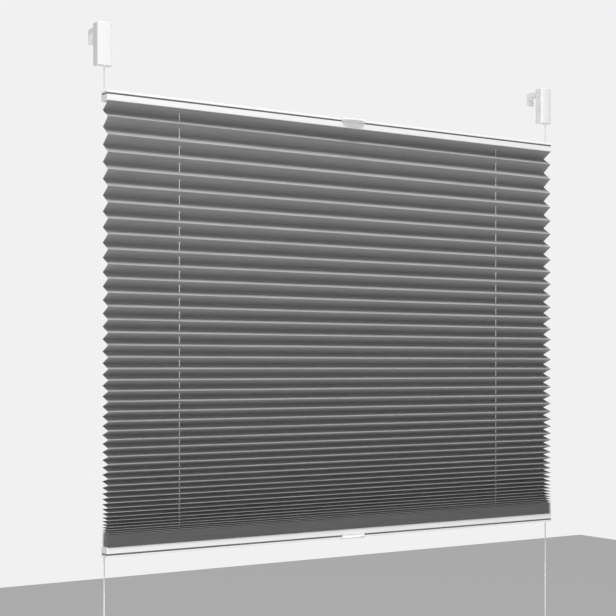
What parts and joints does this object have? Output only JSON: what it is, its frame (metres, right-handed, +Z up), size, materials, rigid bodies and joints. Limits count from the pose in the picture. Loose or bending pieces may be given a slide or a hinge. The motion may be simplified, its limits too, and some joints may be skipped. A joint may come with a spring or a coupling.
{
  "type": "pleated blind",
  "caption": "Clamp-on pleated window blind: a folded sheet between two slim rails that slide on crossed tension cords held by clamp brackets.",
  "frame": {"origin": "on the clamped sash's top front edge, midway between the brackets", "axes": "+Z up, +X along the rails, +Y from the room into the sash"},
  "size_m": [0.613, 0.0441, 1.2268],
  "materials": {
    "pleated_cloth": "matt woven polyester",
    "cord": "braided cord",
    "rail_paint": "white powder coat",
    "cap_plastic": "moulded, white",
    "guide_plastic": "moulded, white",
    "strip_plastic": "extruded",
    "grip_plastic": "frosted, moulded",
    "cover_plastic": "satin, moulded",
    "base_plastic": "moulded, white",
    "hook_metal": "white powder coat",
    "screw_metal": "zinc plated",
    "ferrule_metal": "nickel plated"
  },
  "bodies": {
    "root": {"cord_left": "cord", "cord_right": "cord", "top_left_base": "base_plastic", "top_left_cover": "cover_plastic", "top_left_tension_shoe": "guide_plastic", "top_left_cord_stop": "ferrule_metal", "top_right_base": "base_plastic", "top_right_cover": "cover_plastic", "top_right_tension_shoe": "guide_plastic", "top_right_cord_stop": "ferrule_metal", "bottom_left_base": "base_plastic", "bottom_left_cover": "cover_plastic", "bottom_left_tension_shoe": "guide_plastic", "bottom_left_cord_stop": "ferrule_metal", "bottom_right_base": "base_plastic", "bottom_right_cover": "cover_plastic", "bottom_right_tension_shoe": "guide_plastic", "bottom_right_cord_stop": "ferrule_metal"},
    "top_left_hook": {"top_left_hook": "hook_metal"},
    "top_left_clamp_screw": {"top_left_clamp_screw": "screw_metal"},
    "top_right_hook": {"top_right_hook": "hook_metal"},
    "top_right_clamp_screw": {"top_right_clamp_screw": "screw_metal"},
    "bottom_left_hook": {"bottom_left_hook": "hook_metal"},
    "bottom_left_clamp_screw": {"bottom_left_clamp_screw": "screw_metal"},
    "bottom_right_hook": {"bottom_right_hook": "hook_metal"},
    "bottom_right_clamp_screw": {"bottom_right_clamp_screw": "screw_metal"},
    "top_rail": {"top_rail": "rail_paint", "top_rail_cap_left": "cap_plastic", "top_rail_cap_right": "cap_plastic", "top_cord_guide_left": "guide_plastic", "top_cord_guide_right": "guide_plastic", "top_clamp_strip": "strip_plastic", "top_grip": "grip_plastic", "pleated_fabric": "pleated_cloth"},
    "bottom_rail": {"bottom_rail": "rail_paint", "bottom_rail_cap_left": "cap_plastic", "bottom_rail_cap_right": "cap_plastic", "bottom_cord_guide_left": "guide_plastic", "bottom_cord_guide_right": "guide_plastic", "bottom_clamp_strip": "strip_plastic", "bottom_grip": "grip_plastic"}
  },
  "joints": [
    {"name": "top_left_screw_turn", "type": "hinge", "parent": "root", "child": "top_left_clamp_screw", "pos_m": [-0.2985, -0.006, -0.014], "axis": [0, 1, 0], "range_deg": [-617.2, 617.2]},
    {"name": "top_left_hook_slide", "type": "slide", "parent": "root", "child": "top_left_hook", "axis": [0, 1, 0], "range_m": [-0.0012, 0.0012]},
    {"name": "top_right_screw_turn", "type": "hinge", "parent": "root", "child": "top_right_clamp_screw", "pos_m": [0.2985, -0.006, -0.014], "axis": [0, 1, 0], "range_deg": [-617.2, 617.2]},
    {"name": "top_right_hook_slide", "type": "slide", "parent": "root", "child": "top_right_hook", "axis": [0, 1, 0], "range_m": [-0.0012, 0.0012]},
    {"name": "bottom_left_screw_turn", "type": "hinge", "parent": "root", "child": "bottom_left_clamp_screw", "pos_m": [-0.2985, -0.006, -1.196], "axis": [0, 1, 0], "range_deg": [-617.2, 617.2]},
    {"name": "bottom_left_hook_slide", "type": "slide", "parent": "root", "child": "bottom_left_hook", "axis": [0, 1, 0], "range_m": [-0.0012, 0.0012]},
    {"name": "bottom_right_screw_turn", "type": "hinge", "parent": "root", "child": "bottom_right_clamp_screw", "pos_m": [0.2985, -0.006, -1.196], "axis": [0, 1, 0], "range_deg": [-617.2, 617.2]},
    {"name": "bottom_right_hook_slide", "type": "slide", "parent": "root", "child": "bottom_right_hook", "axis": [0, 1, 0], "range_m": [-0.0012, 0.0012]},
    {"name": "top_rail_slide", "type": "slide", "parent": "root", "child": "top_rail", "axis": [0, 0, 1], "range_m": [-0.33, 0.015], "deforming": ["cord_left", "cord_right"]},
    {"name": "bottom_rail_slide", "type": "slide", "parent": "top_rail", "child": "bottom_rail", "axis": [0, 0, 1], "range_m": [-0.3, 0.38], "deforming": ["pleated_fabric", "cord_left", "cord_right"]}
  ],
  "couplings": [
    {"joint": "top_left_screw_turn", "follows": "top_left_hook_slide", "rad_per_m": -8976},
    {"joint": "top_right_screw_turn", "follows": "top_right_hook_slide", "rad_per_m": -8976},
    {"joint": "bottom_left_screw_turn", "follows": "bottom_left_hook_slide", "rad_per_m": -8976},
    {"joint": "bottom_right_screw_turn", "follows": "bottom_right_hook_slide", "rad_per_m": -8976}
  ]
}
